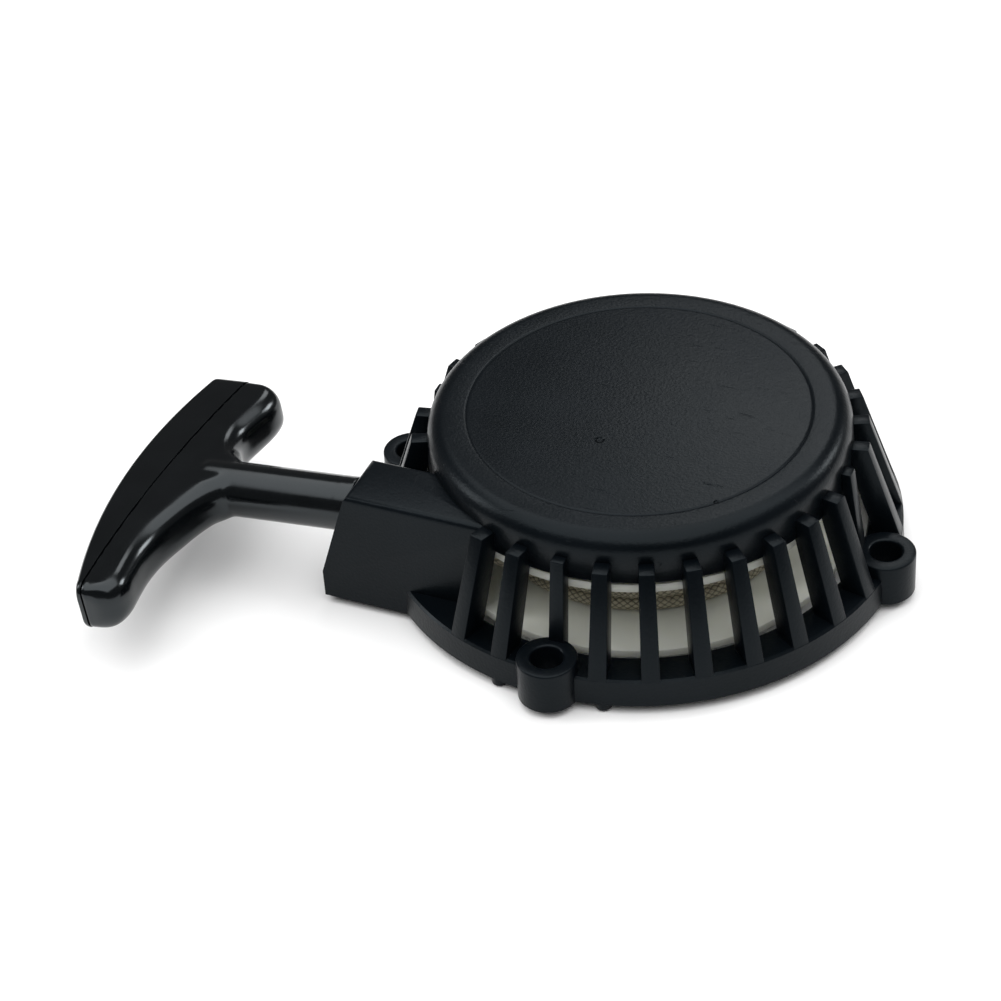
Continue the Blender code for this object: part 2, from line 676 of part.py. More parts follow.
def slot_cutter():
    """A slot along the peg's path, its sides offset by the peg's radius and some play."""
    reach = DRIVE_PEG_R + 0.0005
    points = slot_points()
    left, right = [], []
    for i, point in enumerate(points):
        along = (points[min(i + 1, len(points) - 1)] - points[max(i - 1, 0)]).normalized()
        across = Vector((-along.y, along.x)) * reach
        left.append(tuple(point + across))
        right.append(tuple(point - across))
    return prism(left + right[::-1], PLATE_BOTTOM - 0.001, PLATE_TOP + 0.001)


def make_friction_plate(steel):
    plate = make_object("friction_plate", turned([(HUB_R + GAP, PLATE_BOTTOM), (PLATE_R, PLATE_BOTTOM),
                                                  (PLATE_R, PLATE_TOP), (HUB_R + GAP, PLATE_TOP)], 48), steel)
    for k in range(PAWL_COUNT):
        cut(plate, placed(slot_cutter(), Matrix.Rotation(math.tau * k / PAWL_COUNT, 4, "Z")))


def lofted(sections):
    """A solid through closed sections that have equal numbers of points."""
    bm = bmesh.new()
    loops = [[bm.verts.new(point) for point in section] for section in sections]
    for low, high in zip(loops, loops[1:]):
        for k in range(len(low)):
            j = (k + 1) % len(low)
            bm.faces.new((low[k], low[j], high[j], high[k]))
    bm.faces.new(loops[0])
    bm.faces.new(list(reversed(loops[-1])))
    return bm


def joint_height(x):
    """Height of the joint between bar and cover at x."""
    return JOINT_BOW * (1 - (x / BAR_HALF) ** 2)


def bar_section(x, sign, base, depth, round_radius):
    """Section across the bar at x: flat at y = base, with both far corners rounded."""
    past = max(abs(x) - (BAR_HALF - BAR_END_ROUND), 0)
    half = BAR_THICK / 2 - BAR_END_ROUND + math.sqrt(BAR_END_ROUND ** 2 - past ** 2)
    r = min(round_radius, (depth - sign * base) * 0.75)
    section = [(x, base, half)]
    section += [(x, sign * y, z) for y, z in arc((depth - r, half - r), r, 90, 0, 4)]
    section += [(x, sign * y, z) for y, z in arc((depth - r, -half + r), r, 0, -90, 4)]
    section.append((x, base, -half))
    return section


def bar_solid():
    """Bar of the T: lobes at both ends, a waist on both sides of the stem."""
    sections = []
    for x, depth, _ in smooth_route([(x, depth, 0) for x, depth in BAR_PROFILE], 2):
        x = max(-BAR_HALF, min(BAR_HALF, x))
        radius = BAR_ROOT_ROUND if depth > 2 * BAR_ROUND + BAR_END_ROUND else BAR_ROUND
        sections.append(bar_section(x, -1, joint_height(x), depth, radius))
    return lofted(sections)


def cover_solid():
    """Cover of the bar: a long low arc, thick at one end and thin at the other."""
    steps = 22
    sections = []
    for i in range(steps + 1):
        x = -BAR_HALF * math.cos(math.pi * i / steps)
        rise = COVER_HEIGHT - (x - COVER_PEAK) ** 2 / (2 * COVER_CURVE_R)
        sections.append(bar_section(x, 1, joint_height(x) + GAP, rise, COVER_ROUND))
    return lofted(sections)


def handle_matrix():
    """Handle frame: x along the bar, y outwards along the line of pull, z across the bar."""
    out = PULL_AXIS
    level = Vector((0, 1, 0))
    up = Vector((out.z, 0, -out.x))
    along = math.cos(HANDLE_ROLL) * level + math.sin(HANDLE_ROLL) * up
    across = along.cross(out)
    matrix = Matrix((along, out, across)).transposed().to_4x4()
    matrix.translation = PULL_POINT + out * JOINT_DISTANCE
    return matrix


def make_handle(plastic, cord, steel):
    frame = handle_matrix()
    hub = bpy.data.objects.new("handle_origin", None)
    bpy.context.scene.collection.objects.link(hub)
    hub.matrix_world = frame
    bar_place = Matrix.Translation((BAR_OFFSET, 0, 0))

    # body: bar, round stem, bore for the cord and pocket for its knot
    body = make_object("handle_body", placed(bar_solid(), bar_place), plastic)
    lay = Matrix.Rotation(math.radians(-90), 4, "X")           # local Z of a turned piece onto +y
    stem = turned([(0, STEM_END), (STEM_R - 0.0004, STEM_END), (STEM_R, STEM_END + 0.0004),
                   (STEM_R, -0.0060), (STEM_R - 0.0010, -0.0040), (0, -0.0040)], 32, closed=False)
    unite(body, placed(stem, lay))
    cut(body, placed(cylinder(CORD_BORE_R, STEM_END - 0.001, -0.004, 16), lay))
    cut(body, placed(cylinder(KNOT_POCKET_R, -KNOT_POCKET_DEPTH, JOINT_BOW + GAP, 24), lay))
    body.parent = hub

    make_object("handle_cover", placed(cover_solid(), bar_place), plastic, hub)

    # cord through the stem, its knot and the washer that the knot pulls against
    washer = turned([(CORD_BORE_R, -KNOT_POCKET_DEPTH + GAP), (KNOT_POCKET_R - GAP, -KNOT_POCKET_DEPTH + GAP),
                     (KNOT_POCKET_R - GAP, -KNOT_POCKET_DEPTH + 0.0012),
                     (CORD_BORE_R, -KNOT_POCKET_DEPTH + 0.0012)], 24)
    make_object("knot_washer", placed(washer, lay), steel, hub)
    make_object("handle_knot", placed(placed(knot(KNOT_R), Matrix.Translation((0, 0, -0.0040))), lay), cord, hub)
    cord_end = -(JOINT_DISTANCE - GUIDE_INNER_END) + GAP
    steps = 10
    start = -0.0078
    points = [frame @ Vector((0, start + (cord_end - start) * i / steps, 0)) for i in range(steps + 1)]
    make_cord("cord_run", points, cord)


def main():
    clear_scene()
    black = make_material("moulded_black", (0.021, 0.024, 0.027), 0.5)
    gloss_black = make_material("handle_black", (0.012, 0.013, 0.014), 0.25)
    nylon = make_material("natural_nylon", (0.72, 0.73, 0.68), 0.45)
    rope = make_material("braided_cord", (0.42, 0.37, 0.28), 0.85)
    steel = make_material("spring_steel", (0.30, 0.31, 0.32), 0.35, 1.0)
    plated = make_material("plated_steel", (0.62, 0.62, 0.60), 0.3, 1.0)

    make_housing(black)
    make_cord_guide(plated)
    make_post_bush(plated)
    make_spring_parts(steel, plated)
    make_centre_fixing(plated)

    reel_origin = bpy.data.objects.new("reel_origin", None)
    bpy.context.scene.collection.objects.link(reel_origin)
    make_reel(nylon, reel_origin)
    make_reel_cord(rope, reel_origin)
    make_pawl_pins(steel, reel_origin)
    make_friction_plate(plated)
    make_pawls(steel)

    make_handle(gloss_black, rope, plated)
    make_cord("cord_feed", smooth_route(FEED_ROUTE, 3), rope)


main()
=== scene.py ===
import math

import bmesh
import bpy
from mathutils import Matrix, Vector


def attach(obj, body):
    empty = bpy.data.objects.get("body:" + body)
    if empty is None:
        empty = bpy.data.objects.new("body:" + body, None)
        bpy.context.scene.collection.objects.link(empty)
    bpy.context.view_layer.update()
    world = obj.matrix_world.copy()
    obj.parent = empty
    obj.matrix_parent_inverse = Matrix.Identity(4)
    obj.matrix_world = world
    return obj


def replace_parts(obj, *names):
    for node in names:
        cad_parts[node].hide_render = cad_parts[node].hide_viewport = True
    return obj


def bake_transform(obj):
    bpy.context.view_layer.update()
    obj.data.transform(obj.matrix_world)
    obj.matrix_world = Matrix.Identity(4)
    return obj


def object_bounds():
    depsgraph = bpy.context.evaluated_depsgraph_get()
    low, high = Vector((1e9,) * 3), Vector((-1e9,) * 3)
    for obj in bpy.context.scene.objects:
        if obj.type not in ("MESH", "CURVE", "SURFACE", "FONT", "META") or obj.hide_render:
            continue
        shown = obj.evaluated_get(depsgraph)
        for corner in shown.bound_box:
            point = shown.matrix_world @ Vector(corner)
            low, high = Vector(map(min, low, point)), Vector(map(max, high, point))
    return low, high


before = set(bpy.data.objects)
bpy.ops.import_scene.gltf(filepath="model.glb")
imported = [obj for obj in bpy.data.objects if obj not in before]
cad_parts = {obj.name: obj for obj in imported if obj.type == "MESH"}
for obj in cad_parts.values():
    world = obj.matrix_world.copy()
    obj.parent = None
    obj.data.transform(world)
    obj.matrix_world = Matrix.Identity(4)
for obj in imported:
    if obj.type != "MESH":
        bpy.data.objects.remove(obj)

cad_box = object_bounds()

# ---------------------------------------------------------------------------
# Studio: a white table that ends left of the handle, so the pulled handle hangs
# past its edge, a white floor below it, a big soft lamp overhead, small lamps for
# the gloss on the rounded plastic edges, and a long lens from the front right.
# ---------------------------------------------------------------------------


def linear(hex_colour):
    """sRGB hex to the linear colour that a shader wants."""
    channels = [int(hex_colour[i:i + 2], 16) / 255 for i in (1, 3, 5)]
    return tuple(c / 12.92 if c <= 0.04045 else ((c + 0.055) / 1.055) ** 2.4 for c in channels) + (1.0,)


def add_node(material, kind, settings=None, **links):
    """Adds a node; settings are its properties or sockets, links come from other nodes' sockets."""
    node = material.node_tree.nodes.new(kind)
    for key, value in (settings or {}).items():
        if isinstance(key, int) or key in node.inputs:
            node.inputs[key].default_value = value
        else:
            setattr(node, key, value)
    for socket, source in links.items():
        name = socket[1:] if socket.startswith("_") else socket.replace("_", " ")
        target = node.inputs[int(name)] if name.isdigit() else node.inputs[name]
        material.node_tree.links.new(source, target)
    return node


def new_material(name, **sockets):
    material = bpy.data.materials.new(name)
    material.use_nodes = True
    shader = material.node_tree.nodes["Principled BSDF"]
    for key, value in sockets.items():
        shader.inputs[key.replace("_", " ")].default_value = value
    return material, shader


scene = bpy.context.scene
camera = bpy.data.objects.new("camera", bpy.data.cameras.new("camera"))
scene.collection.objects.link(camera)
camera.data.lens = 109.1
camera.data.sensor_width = 36
camera.data.clip_start = 0.05
camera.matrix_world = (Matrix.Translation((0.19985, -0.49247, 0.43195))
                       @ Matrix.Rotation(math.radians(25.5), 4, "Z")
                       @ Matrix.Rotation(math.radians(90 - 38.35), 4, "X")
                       @ Matrix.Rotation(math.radians(-4.2), 4, "Z"))
scene.camera = camera

scene.view_settings.view_transform = "Standard"

table_paint, table_shader = new_material("white_laminate", Roughness=0.8)
table_shader.inputs["Base Color"].default_value = linear("#fbfbfb")
table_shader.inputs["Specular IOR Level"].default_value = 0.1
table = bpy.data.meshes.new("table")
bm = bmesh.new()
bmesh.ops.create_grid(bm, x_segments=1, y_segments=1, size=4,
                      matrix=(Matrix.Translation((-0.24, -0.03, cad_box[0][2] - 0.0002))
                              @ Matrix.Rotation(math.radians(15), 4, "Z") @ Matrix.Translation((4, 0, 0))))
bmesh.ops.create_grid(bm, x_segments=1, y_segments=1, size=4, matrix=Matrix.Translation((0, 0, -0.16)))
bm.to_mesh(table)
bm.free()
table.materials.append(table_paint)
floor = bpy.data.objects.new("table", table)
scene.collection.objects.link(floor)

scene.world = bpy.data.worlds.new("studio")
scene.world.use_nodes = True
scene.world.node_tree.nodes["Background"].inputs["Color"].default_value = (1, 1, 1, 1)
scene.world.node_tree.nodes["Background"].inputs["Strength"].default_value = 0.12


def soft_lamp(name, place, target, width, height, power):
    lamp = bpy.data.lights.new(name, "AREA")
    lamp.shape = "RECTANGLE"
    lamp.size, lamp.size_y, lamp.energy = width, height, power
    holder = bpy.data.objects.new(name, lamp)
    scene.collection.objects.link(holder)
    holder.location = place
    holder.rotation_euler = (Vector(target) - Vector(place)).to_track_quat("-Z", "Y").to_euler()


soft_lamp("lamp_overhead", (0, -0.2, 1.7), (0, -0.2, 0), 3.0, 3.0, 66)
soft_lamp("lamp_right_back", (0.75, 0.85, 0.62), (-0.05, 0, 0.02), 0.30, 0.30, 3.5)
soft_lamp("lamp_sheen", (-0.22, 1.00, 0.86), (0.01, 0.01, 0.03), 0.35, 0.3, 1.3)
soft_lamp("lamp_left", (-0.95, -0.25, 0.50), (-0.06, -0.03, 0.02), 0.3, 0.5, 3)

# ---------------------------------------------------------------------------
# Cap of the housing: the round lid over the recoil spring, one black ABS
# moulding with a rounded rim, a fine turned line and a centre post below.
# ---------------------------------------------------------------------------
CAP_R, CAP_TOP, CAP_WALL, RIM_ROUND = 0.0466, 0.0355, 0.0025, 0.0045
SKIRT_BOTTOM, LINE_R, POST_R, POST_BOTTOM = 0.0242, 0.03785, 0.0056, 0.0060
LINE_EDGE, LINE_SLOPE, LINE_DEPTH = 0.0006, 0.00015, 0.00012
PILOT_R, PILOT_TOP = 0.0026, 0.0235


def spun(profile, steps, closed=False):
    """Turns (radius, height) points about Z; an open profile starts and ends on the axis."""
    bm = bmesh.new()
    verts = [bm.verts.new((r, 0, z)) for r, z in profile]
    edges = [bm.edges.new(pair) for pair in zip(verts, verts[1:])]
    if closed:
        edges.append(bm.edges.new((verts[-1], verts[0])))
    bmesh.ops.spin(bm, geom=verts + edges, cent=(0, 0, 0), axis=(0, 0, 1), angle=math.tau,
                   steps=steps, use_merge=True)
    bmesh.ops.remove_doubles(bm, verts=bm.verts, dist=1e-6)
    bmesh.ops.recalc_face_normals(bm, faces=bm.faces)
    return bm


def quarter(radius, height, round_radius, start, end, steps=8):
    """Points of a rounded corner, centre at (radius, height), angles in degrees."""
    return [(radius + round_radius * math.cos(math.radians(start + (end - start) * i / steps)),
             height + round_radius * math.sin(math.radians(start + (end - start) * i / steps)))
            for i in range(steps + 1)]


def piece(name, bm, material, body, crease=35):
    """Makes a finished piece of a bmesh, smooth apart from edges sharper than crease."""
    mesh = bpy.data.meshes.new(name)
    bm.to_mesh(mesh)
    bm.free()
    mesh.materials.append(material)
    mesh.shade_smooth()
    mesh.set_sharp_from_angle(angle=math.radians(crease))
    made = bpy.data.objects.new(name, mesh)
    scene.collection.objects.link(made)
    if body:
        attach(made, body)
    return made


# Black ABS out of a finely spark-eroded mould: a fine grain under a soft sheen
# that changes a little from place to place.
abs_black, abs_shader = new_material("moulded_abs_black", Roughness=0.42, IOR=1.53)
abs_shader.inputs["Specular IOR Level"].default_value = 0.12
abs_shader.inputs["Specular Tint"].default_value = (0.80, 0.93, 1.0, 1.0)
coords = add_node(abs_black, "ShaderNodeTexCoord")
grain = add_node(abs_black, "ShaderNodeTexNoise", {"Scale": 1500.0, "Detail": 3.0},
                 Vector=coords.outputs["Object"])
cloud = add_node(abs_black, "ShaderNodeTexNoise", {"Scale": 45.0, "Detail": 4.0},
                 Vector=coords.outputs["Object"])
tone = add_node(abs_black, "ShaderNodeValToRGB", None, Fac=cloud.outputs["Fac"])
tone.color_ramp.elements[0].position = 0.3
tone.color_ramp.elements[0].color = linear("#030609")
tone.color_ramp.elements[1].position = 0.75
tone.color_ramp.elements[1].color = linear("#090d11")
gloss = add_node(abs_black, "ShaderNodeMapRange", {"To Min": 0.24, "To Max": 0.36},
                 Value=cloud.outputs["Fac"])
bump = add_node(abs_black, "ShaderNodeBump", {"Strength": 0.5, "Distance": 0.00010},
                Height=grain.outputs["Fac"])
abs_black.node_tree.links.new(tone.outputs["Color"], abs_shader.inputs["Base Color"])
abs_black.node_tree.links.new(gloss.outputs["Result"], abs_shader.inputs["Roughness"])
abs_black.node_tree.links.new(bump.outputs["Normal"], abs_shader.inputs["Normal"])

inner_r, ceiling = CAP_R - CAP_WALL, CAP_TOP - CAP_WALL
cap_profile = ([(0, CAP_TOP), (LINE_R - LINE_EDGE, CAP_TOP), (LINE_R - LINE_SLOPE, CAP_TOP - LINE_DEPTH / 4),
                (LINE_R, CAP_TOP - LINE_DEPTH), (LINE_R + LINE_SLOPE, CAP_TOP - LINE_DEPTH / 4),
                (LINE_R + LINE_EDGE, CAP_TOP)]
               + quarter(CAP_R - RIM_ROUND, CAP_TOP - RIM_ROUND, RIM_ROUND, 90, 0, 14)
               + [(CAP_R + 0.0003, SKIRT_BOTTOM + 0.0004), (CAP_R - 0.0001, SKIRT_BOTTOM),
                  (inner_r, SKIRT_BOTTOM), (inner_r, ceiling - 0.002), (inner_r - 0.002, ceiling),
                  (POST_R + 0.0006, ceiling), (POST_R, ceiling - 0.001), (POST_R, POST_BOTTOM),
                  (PILOT_R, POST_BOTTOM), (PILOT_R, PILOT_TOP), (0, PILOT_TOP + 0.001)])

# The lid's own copy of the plastic carries its marks: the gate's dimple off the middle, one small
# nick near the edge, and fine scuffs that all run much the same way.
cap_black = abs_black.copy()
cap_black.name = "moulded_abs_black_lid"
nodes = cap_black.node_tree.nodes
coords, grain_bump = nodes["Texture Coordinate"], nodes["Bump"]
GATE, NICK = (-0.0037, -0.0140, CAP_TOP), (0.0272, -0.0261, CAP_TOP)
where = add_node(cap_black, "ShaderNodeVectorMath", {"operation": "DISTANCE", 1: GATE},
                 _0=coords.outputs["Object"])
dimple = add_node(cap_black, "ShaderNodeMapRange", {"From Min": 0.0006, "From Max": 0.0011, "To Min": -1.0,
                                                   "To Max": 0.0}, Value=where.outputs["Value"])
where = add_node(cap_black, "ShaderNodeVectorMath", {"operation": "DISTANCE", 1: NICK},
                 _0=coords.outputs["Object"])
nick = add_node(cap_black, "ShaderNodeMapRange", {"From Min": 0.0002, "From Max": 0.0006, "To Min": -1.0,
                                                 "To Max": 0.0}, Value=where.outputs["Value"])
brushed = add_node(cap_black, "ShaderNodeMapping", {"Rotation": (0, 0, 0.6), "Scale": (90.0, 1400.0, 300.0)},
                   Vector=coords.outputs["Object"])
scuffs = add_node(cap_black, "ShaderNodeTexNoise", {"Scale": 1.0, "Detail": 5.0, "Roughness": 0.7},
                  Vector=brushed.outputs["Vector"])
scratch = add_node(cap_black, "ShaderNodeMapRange", {"From Min": 0.66, "From Max": 0.76, "To Min": 0.0,
                                                    "To Max": -0.12}, Value=scuffs.outputs["Fac"])
pits = add_node(cap_black, "ShaderNodeMath", {"operation": "ADD"}, _0=dimple.outputs["Result"],
                _1=nick.outputs["Result"])
marks = add_node(cap_black, "ShaderNodeMath", {"operation": "ADD"}, _0=pits.outputs[0],
                 _1=scratch.outputs["Result"])
worn = add_node(cap_black, "ShaderNodeBump", {"Strength": 1.0, "Distance": 0.0006}, Height=marks.outputs[0],
                Normal=grain_bump.outputs["Normal"])
cap_black.node_tree.links.new(worn.outputs["Normal"], nodes["Principled BSDF"].inputs["Normal"])
cap = piece("housing_cap", spun(cap_profile, 192), cap_black, "housing", 50)

# ---------------------------------------------------------------------------
# Ribs, ring, lugs and pegs: the cage that lets cooling air in under the cap and
# the flange that four screws pull onto the crankcase, all of the same moulding.
# ---------------------------------------------------------------------------
RING_R, RING_WALL, RING_H = 0.0583, 0.0036, 0.0069
LEDGE_R, LEDGE_T, RING_EDGE = 0.0502, 0.0015, 0.0003
LUG_R, LUG_H, HOLE_R, LUG_CIRCLE = 0.0066, 0.0099, 0.0035, 0.0800 / math.sqrt(2)
LUG_EDGE, HOLE_EDGE = 0.0005, 0.0006
RIB_TOP, RIB_COUNT, RIB_ROOT_R, RIB_BOTTOM = 0.0295, 32, 0.0456, 0.0012
RIB_WIDTH, LUG_RIB_WIDTH, RIB_TAPER = 0.0034, 0.0030, 0.24
PEG_SPREAD, PEG_R, PEG_LENGTH = 12.2, 0.0018, 0.0017


def soften(bm, width, angle=30, segments=2, edges=None):
    """Rounds the given edges, or else all edges sharper than angle."""
    sharp = edges or [e for e in bm.edges
                      if e.is_manifold and e.calc_face_angle() > math.radians(angle)]
    bmesh.ops.bevel(bm, geom=sharp, offset=width, segments=segments, profile=0.5, affect="EDGES",
                    material=-1, clamp_overlap=True)
    return bm


def slab(outline, thickness):
    """A side outline in XZ, given thickness to both sides of Y = 0."""
    bm = bmesh.new()
    face = bm.faces.new([bm.verts.new((r, -thickness / 2, z)) for r, z in outline])
    far_side = bmesh.ops.extrude_face_region(bm, geom=[face])["geom"]
    bmesh.ops.translate(bm, vec=(0, thickness, 0),
                        verts=[v for v in far_side if isinstance(v, bmesh.types.BMVert)])
    bmesh.ops.recalc_face_normals(bm, faces=bm.faces)
    return bm


def add_to(whole, part, matrix=Matrix.Identity(4)):
    """Adds a part to a bmesh, moved by a matrix."""
    mesh = bpy.data.meshes.new("part")
    bmesh.ops.transform(part, matrix=matrix, verts=part.verts)
    part.to_mesh(mesh)
    part.free()
    whole.from_mesh(mesh)
    bpy.data.meshes.remove(mesh)


def carved(target, tool_bm):
    """Cuts a closed shape out of a piece."""
    tool = piece("tool", tool_bm, abs_black, None)
    cut = target.modifiers.new("cut", "BOOLEAN")
    cut.operation, cut.solver, cut.object = "DIFFERENCE", "EXACT", tool
    bpy.context.view_layer.update()
    mesh = bpy.data.meshes.new_from_object(target.evaluated_get(bpy.context.evaluated_depsgraph_get()))
    target.modifiers.clear()
    target.data = mesh
    bpy.data.objects.remove(tool)
    return target


ribs = bmesh.new()
for i in range(RIB_COUNT):
    turn = i if i <= RIB_COUNT // 2 else i - RIB_COUNT
    if -5 <= turn <= -3:                   # the spout stands there
        continue
    lug = i % (RIB_COUNT // 4) == 0
    top_r, foot_r, foot_z, depth = ((0.0488, 0.0515, LUG_H, 0.0026) if lug
                                    else (0.0503, 0.0579, RING_H, 0.0059))
    outline = [(RIB_ROOT_R, RIB_TOP), (top_r, RIB_TOP), (foot_r, foot_z - 0.0004), (foot_r, RIB_BOTTOM),
               (foot_r - depth, RIB_BOTTOM), (foot_r - depth, RING_H),
               (RIB_ROOT_R + 0.0005, SKIRT_BOTTOM + 0.001), (RIB_ROOT_R, SKIRT_BOTTOM + 0.001)]
    rib = slab(outline, LUG_RIB_WIDTH if lug else RIB_WIDTH)
    for vert in rib.verts:
        vert.co.y *= 1 + RIB_TAPER * (RIB_TOP - vert.co.z) / RIB_TOP
    soften(rib, 0.00035)
    add_to(ribs, rib, Matrix.Rotation(math.radians(-90) + math.tau * i / RIB_COUNT, 4, "Z"))
piece("housing_ribs", ribs, abs_black, "housing")

ring = spun([(RING_R - RING_WALL, 0), (RING_R - RING_EDGE, 0), (RING_R, RING_EDGE),
             (RING_R - RING_EDGE, RING_H - 0.0005), (RING_R - 0.0008, RING_H),
             (LEDGE_R + RING_EDGE, RING_H), (LEDGE_R, RING_H - RING_EDGE), (LEDGE_R, RING_H - LEDGE_T),
             (RING_R - RING_WALL, RING_H - LEDGE_T)], 192, closed=True)
flange = piece("housing_ring", ring, abs_black, None)
lugs, seats = bmesh.new(), bmesh.new()
for i in range(4):
    angle = math.radians(-90 + 90 * i)
    spot = Matrix.Translation((LUG_CIRCLE * math.cos(angle), LUG_CIRCLE * math.sin(angle), 0))
    seat_r = LUG_R - 0.001                 # the ring ends inside the lug's own wall
    add_to(seats, spun([(0, -0.001), (seat_r, -0.001), (seat_r, 0.012), (0, 0.012)], 48), spot)
    lug = spun([(HOLE_R, 0), (LUG_R, 0)]
               + quarter(LUG_R - LUG_EDGE, LUG_H - LUG_EDGE, LUG_EDGE, 0, 90, 4)
               + quarter(HOLE_R + HOLE_EDGE, LUG_H - HOLE_EDGE, HOLE_EDGE, 90, 180, 4), 64, closed=True)
    add_to(lugs, lug, spot)
for side in (-1, 1):
    angle = math.radians(-90 + PEG_SPREAD * side)
    peg_circle = RING_R - RING_WALL / 2
    spot = Matrix.Translation((peg_circle * math.cos(angle), peg_circle * math.sin(angle), 0))
    add_to(lugs, spun([(0, -PEG_LENGTH), (PEG_R - 0.0006, -PEG_LENGTH)]
                      + quarter(PEG_R - 0.0005, 0.0005 - PEG_LENGTH, 0.0005, -90, 0, 3)
                      + [(PEG_R, 0.001), (0, 0.001)], 24), spot)
carved(flange, seats)
flange.data.shade_smooth()
flange.data.set_sharp_from_angle(angle=math.radians(35))
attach(flange, "housing")
piece("housing_lugs", lugs, abs_black, "housing")

# ---------------------------------------------------------------------------
# Spout: the square-shouldered box on the side that the cord leaves through, open
# below, with a round socket in its sloping end that the handle's stem rests in.
# ---------------------------------------------------------------------------
SPOUT_FRONT, SPOUT_BACK, SPOUT_END, SPOUT_END_TOP = -0.0433, -0.0283, -0.0590, -0.0517
SPOUT_TOP, SPOUT_BOTTOM, SPOUT_ROOT, SPOUT_WALL = 0.0295, 0.0002, -0.0185, 0.0020
SOCKET_R, SOCKET_DEPTH, SOCKET_MOUTH_R, GUIDE_R = 0.00645, 0.0042, 0.0075, 0.00295
DROOP = math.radians(6.13)
PULL_OUT = Vector((-math.cos(DROOP), 0, -math.sin(DROOP)))
PULL_POINT = Vector((-0.05445, -0.0358, 0.02145))


def on_pull(distance):
    """Frame on the line of pull: local Z points out along the pull, local X along +Y."""
    side = Vector((0, 1, 0))
    matrix = Matrix((side, PULL_OUT.cross(side), PULL_OUT)).transposed().to_4x4()
    matrix.translation = PULL_POINT + PULL_OUT * distance
    return matrix


def moved(bm, matrix):
    """The same bmesh, moved by a matrix."""
    bmesh.ops.transform(bm, matrix=matrix, verts=bm.verts)
    return bm


width, middle = SPOUT_BACK - SPOUT_FRONT, (SPOUT_BACK + SPOUT_FRONT) / 2
to_side = Matrix.Translation((0, middle, 0))
shell = slab([(SPOUT_END, SPOUT_BOTTOM), (SPOUT_END, RING_H), (SPOUT_END_TOP, SPOUT_TOP),
              (SPOUT_ROOT, SPOUT_TOP), (SPOUT_ROOT, SPOUT_BOTTOM)], width)
corner = [e for e in shell.edges if e.verts[0].co.z > 0.029 and e.verts[1].co.z > 0.029
          and min(e.verts[0].co.x, e.verts[1].co.x) < -0.05]
soften(shell, 0.0016, segments=5, edges=corner)
spout = piece("housing_spout", moved(shell, to_side), abs_black, None)
# hollow below, room for the reel, the socket with its widened mouth, and the eyelet's bore
under_top = SPOUT_TOP - SPOUT_WALL
hollow = slab([(SPOUT_END + 0.0035, -0.001), (SPOUT_END + 0.0035, 0.008), (-0.0460, 0.0135),
               (-0.0460, under_top), (-0.010, under_top), (-0.010, -0.001)], width - 2 * SPOUT_WALL)
carved(spout, moved(hollow, to_side))
carved(spout, spun([(0, -0.01), (0.0483, -0.01), (0.0483, 0.0238), (0.0460, 0.0243), (0.0460, 0.050),
                    (0, 0.050)], 128))
carved(spout, moved(spun([(0, -SOCKET_DEPTH), (SOCKET_R, -SOCKET_DEPTH), (SOCKET_R, -0.0006),
                          (SOCKET_MOUTH_R, 0.0010), (SOCKET_MOUTH_R, 0.006), (0, 0.006)], 64), on_pull(0)))
carved(spout, moved(spun([(0, -0.014), (GUIDE_R, -0.014), (GUIDE_R, 0.001), (0, 0.001)], 32), on_pull(0)))
spout.data.shade_smooth()
spout.data.set_sharp_from_angle(angle=math.radians(35))
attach(spout, "housing")

# Bosses under the cap that the spring cover's screws bite into.
BOSS_R, BOSS_HOLE_R, BOSS_CIRCLE, BOSS_BOTTOM, BOSS_TOP = 0.0030, 0.0014, 0.0402, 0.0263, 0.0335
bosses = bmesh.new()
for angle in (math.radians(30), math.radians(150), math.radians(270)):
    spot = Matrix.Translation((BOSS_CIRCLE * math.cos(angle), BOSS_CIRCLE * math.sin(angle), 0))
    add_to(bosses, spun([(BOSS_HOLE_R, BOSS_BOTTOM), (BOSS_R, BOSS_BOTTOM), (BOSS_R, BOSS_TOP),
                         (0, BOSS_TOP), (0, BOSS_TOP - 0.0015), (BOSS_HOLE_R, BOSS_TOP - 0.0015)],
                        24, closed=True), spot)
piece("housing_bosses", bosses, abs_black, "housing")
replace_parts(cap, "housing")
for part in ("housing_ribs", "housing_ring", "housing_lugs", "housing_spout", "housing_bosses"):
    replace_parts(bpy.data.objects[part], "housing")

# ---------------------------------------------------------------------------
# Reel: one moulding of uncoloured nylon, with two flanges that keep the cord in
# place; it runs on a steel bush over the cap's post, and its web holds the pawls.
# ---------------------------------------------------------------------------
nylon, nylon_shader = new_material("uncoloured_nylon", Roughness=0.42, IOR=1.53)
nylon_shader.inputs["Subsurface Weight"].default_value = 0.25
nylon_shader.inputs["Subsurface Radius"].default_value = (0.004, 0.004, 0.003)
nylon_shader.inputs["Subsurface Scale"].default_value = 0.5
coords = add_node(nylon, "ShaderNodeTexCoord")
cloud = add_node(nylon, "ShaderNodeTexNoise", {"Scale": 60.0, "Detail": 3.0},
                 Vector=coords.outputs["Object"])
tone = add_node(nylon, "ShaderNodeValToRGB", None, Fac=cloud.outputs["Fac"])
tone.color_ramp.elements[0].color = linear("#d9dbd0")
tone.color_ramp.elements[1].color = linear("#eceee6")
ridges = add_node(nylon, "ShaderNodeBump", {"Strength": 0.15, "Distance": 0.00005},
                  Height=cloud.outputs["Fac"])
nylon.node_tree.links.new(tone.outputs["Color"], nylon_shader.inputs["Base Color"])
nylon.node_tree.links.new(ridges.outputs["Normal"], nylon_shader.inputs["Normal"])

